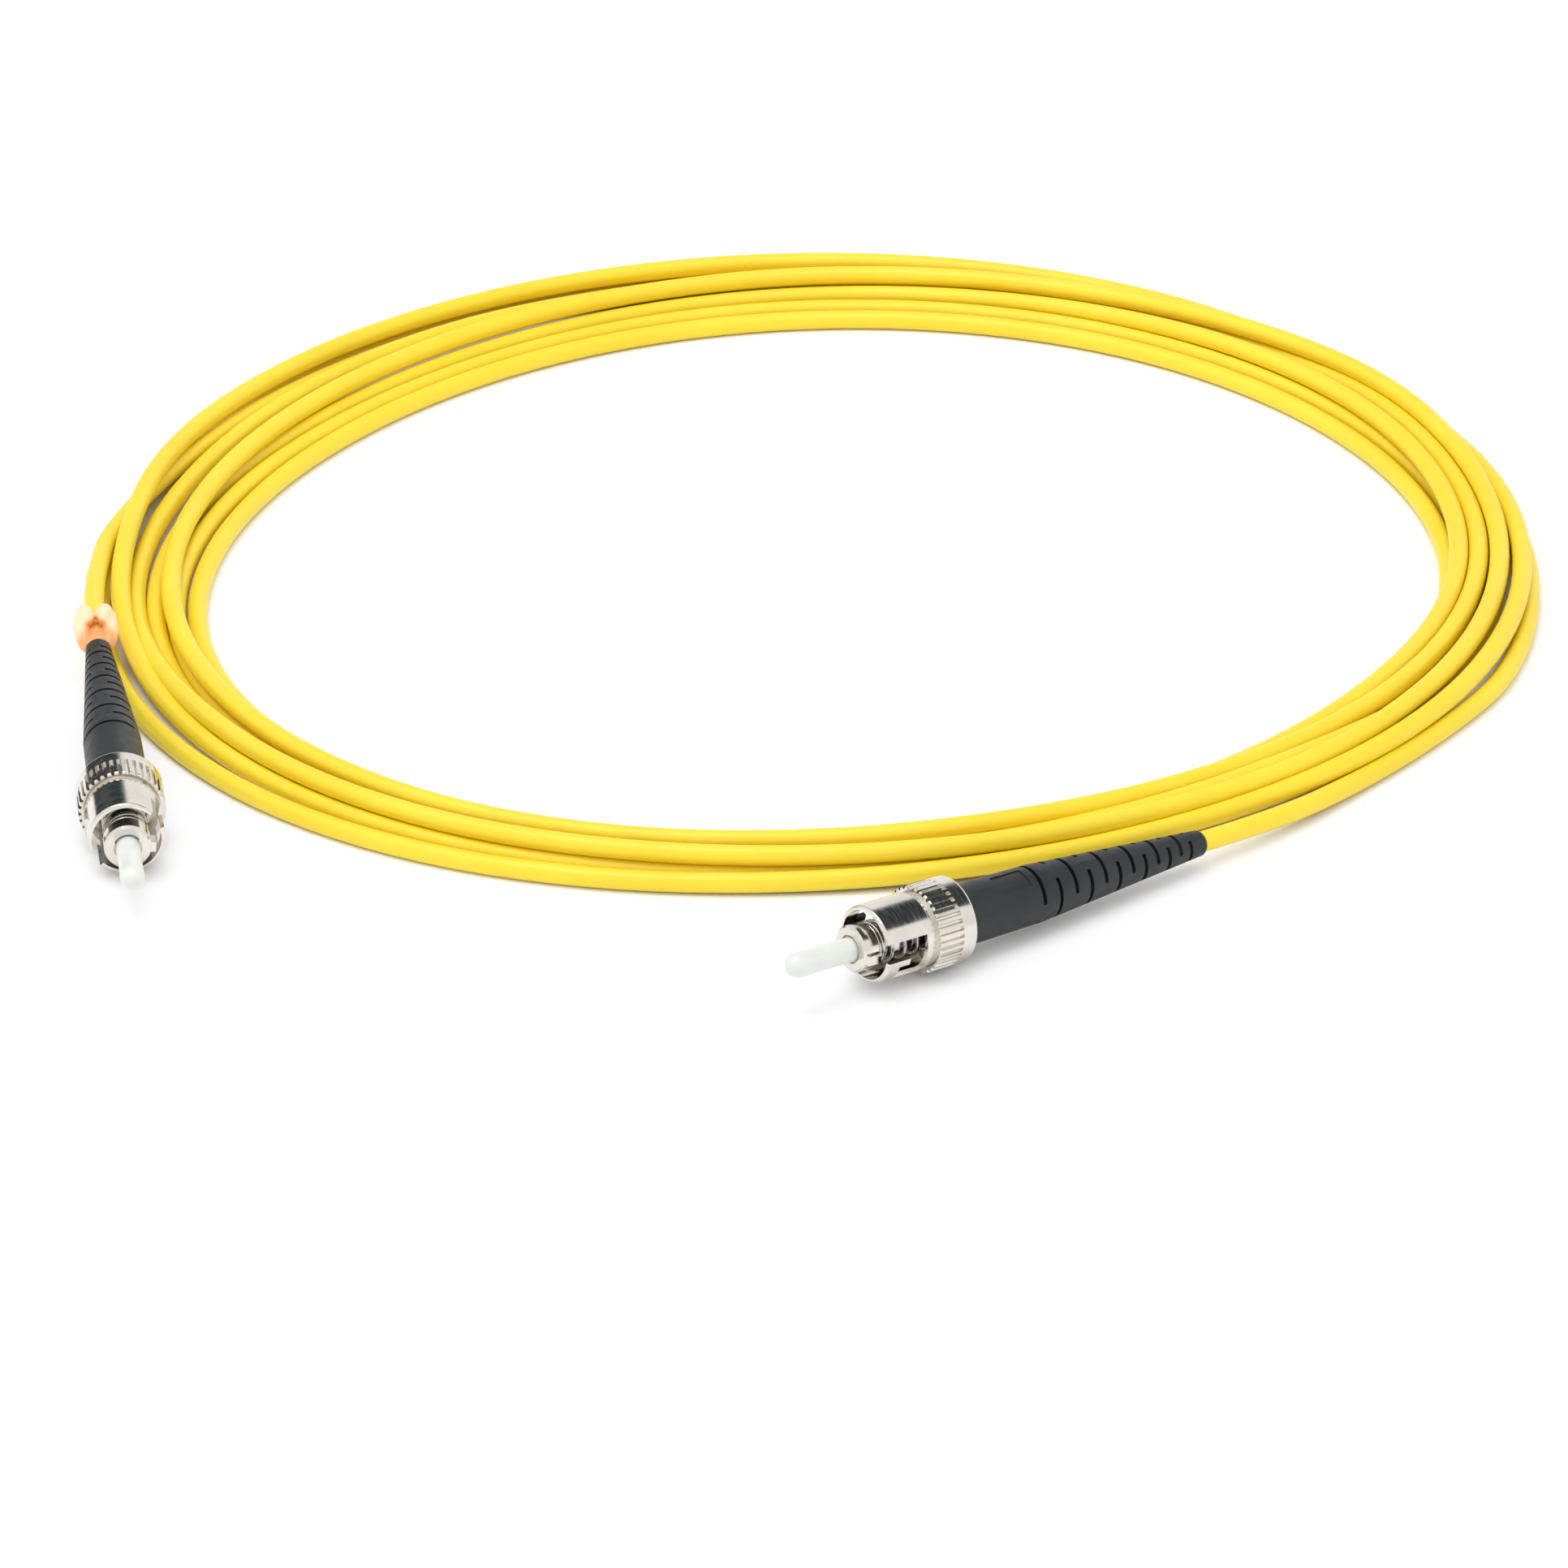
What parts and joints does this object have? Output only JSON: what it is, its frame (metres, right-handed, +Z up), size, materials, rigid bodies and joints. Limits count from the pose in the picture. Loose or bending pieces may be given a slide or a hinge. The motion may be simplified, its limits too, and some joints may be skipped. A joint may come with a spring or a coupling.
{
  "type": "fiber optic patch cord",
  "caption": "Coiled simplex fibre optic patch cord with a bayonet-nut connector, a ribbed boot and a soft dust cap on each end.",
  "frame": {"origin": "on the resting surface, under the middle of the box round the whole coiled cord", "axes": "+Z up from the resting surface; +Y away from the two connectors, along the longer side of the box; +X to the right"},
  "size_m": [0.1747, 0.202, 0.0103],
  "materials": {
    "jacket": "smooth satin PVC",
    "boot": "matte black elastomer",
    "nickel": "bright nickel plate on turned brass",
    "steel": "bright spring steel",
    "crimp": "satin",
    "ceramic": "ground white zirconia",
    "glass_fibre": "clear",
    "buffer": "smooth",
    "aramid": "combed yarn",
    "cap": "translucent soft plastic",
    "clip": "translucent peach silicone"
  },
  "bodies": {
    "root": {"right_ferrule": "ceramic", "right_fibre": "glass_fibre", "right_connector_body": "nickel", "right_coupling_spring": "steel", "right_retaining_ring": "steel", "right_aramid_yarn": "aramid", "right_crimp_sleeve": "crimp", "right_buffer_tube": "buffer", "right_jacket_end": "jacket", "right_boot": "boot", "left_ferrule": "ceramic", "left_fibre": "glass_fibre", "left_connector_body": "nickel", "left_coupling_spring": "steel", "left_retaining_ring": "steel", "left_aramid_yarn": "aramid", "left_crimp_sleeve": "crimp", "left_buffer_tube": "buffer", "left_jacket_end": "jacket", "left_boot": "boot", "left_clip": "clip", "right_cable_lead": "jacket", "left_cable_lead": "jacket", "cable_coil": "jacket"},
    "right_cap": {"right_dust_cap": "cap"},
    "right_washer": {"right_thrust_washer": "steel"},
    "right_nut": {"right_coupling_nut": "nickel"},
    "left_cap": {"left_dust_cap": "cap"},
    "left_washer": {"left_thrust_washer": "steel"},
    "left_nut": {"left_coupling_nut": "nickel"}
  },
  "joints": [
    {"name": "right_cap_pull", "type": "slide", "parent": "root", "child": "right_cap", "axis": [-0.7879, -0.6133, 0.0558], "range_m": [0, 0.012]},
    {"name": "right_nut_push", "type": "slide", "parent": "root", "child": "right_washer", "axis": [-0.7879, -0.6133, 0.0558], "range_m": [0, 0.002], "stiffness_N_per_m": 3500, "springref_m": -0.001, "deforming": ["right_coupling_spring"]},
    {"name": "right_nut_turn", "type": "hinge", "parent": "right_washer", "child": "right_nut", "pos_m": [0.01502, -0.0863, 0.00502], "axis": [-0.7879, -0.6133, 0.0558], "continuous": true},
    {"name": "left_cap_pull", "type": "slide", "parent": "root", "child": "left_cap", "axis": [0.134, -0.991, -0.007], "range_m": [0, 0.012]},
    {"name": "left_nut_push", "type": "slide", "parent": "root", "child": "left_washer", "axis": [0.134, -0.991, -0.007], "range_m": [0, 0.002], "stiffness_N_per_m": 3500, "springref_m": -0.001, "deforming": ["left_coupling_spring"]},
    {"name": "left_nut_turn", "type": "hinge", "parent": "left_washer", "child": "left_nut", "pos_m": [-0.07934, -0.0549, 0.00505], "axis": [0.134, -0.991, -0.007], "continuous": true}
  ]
}
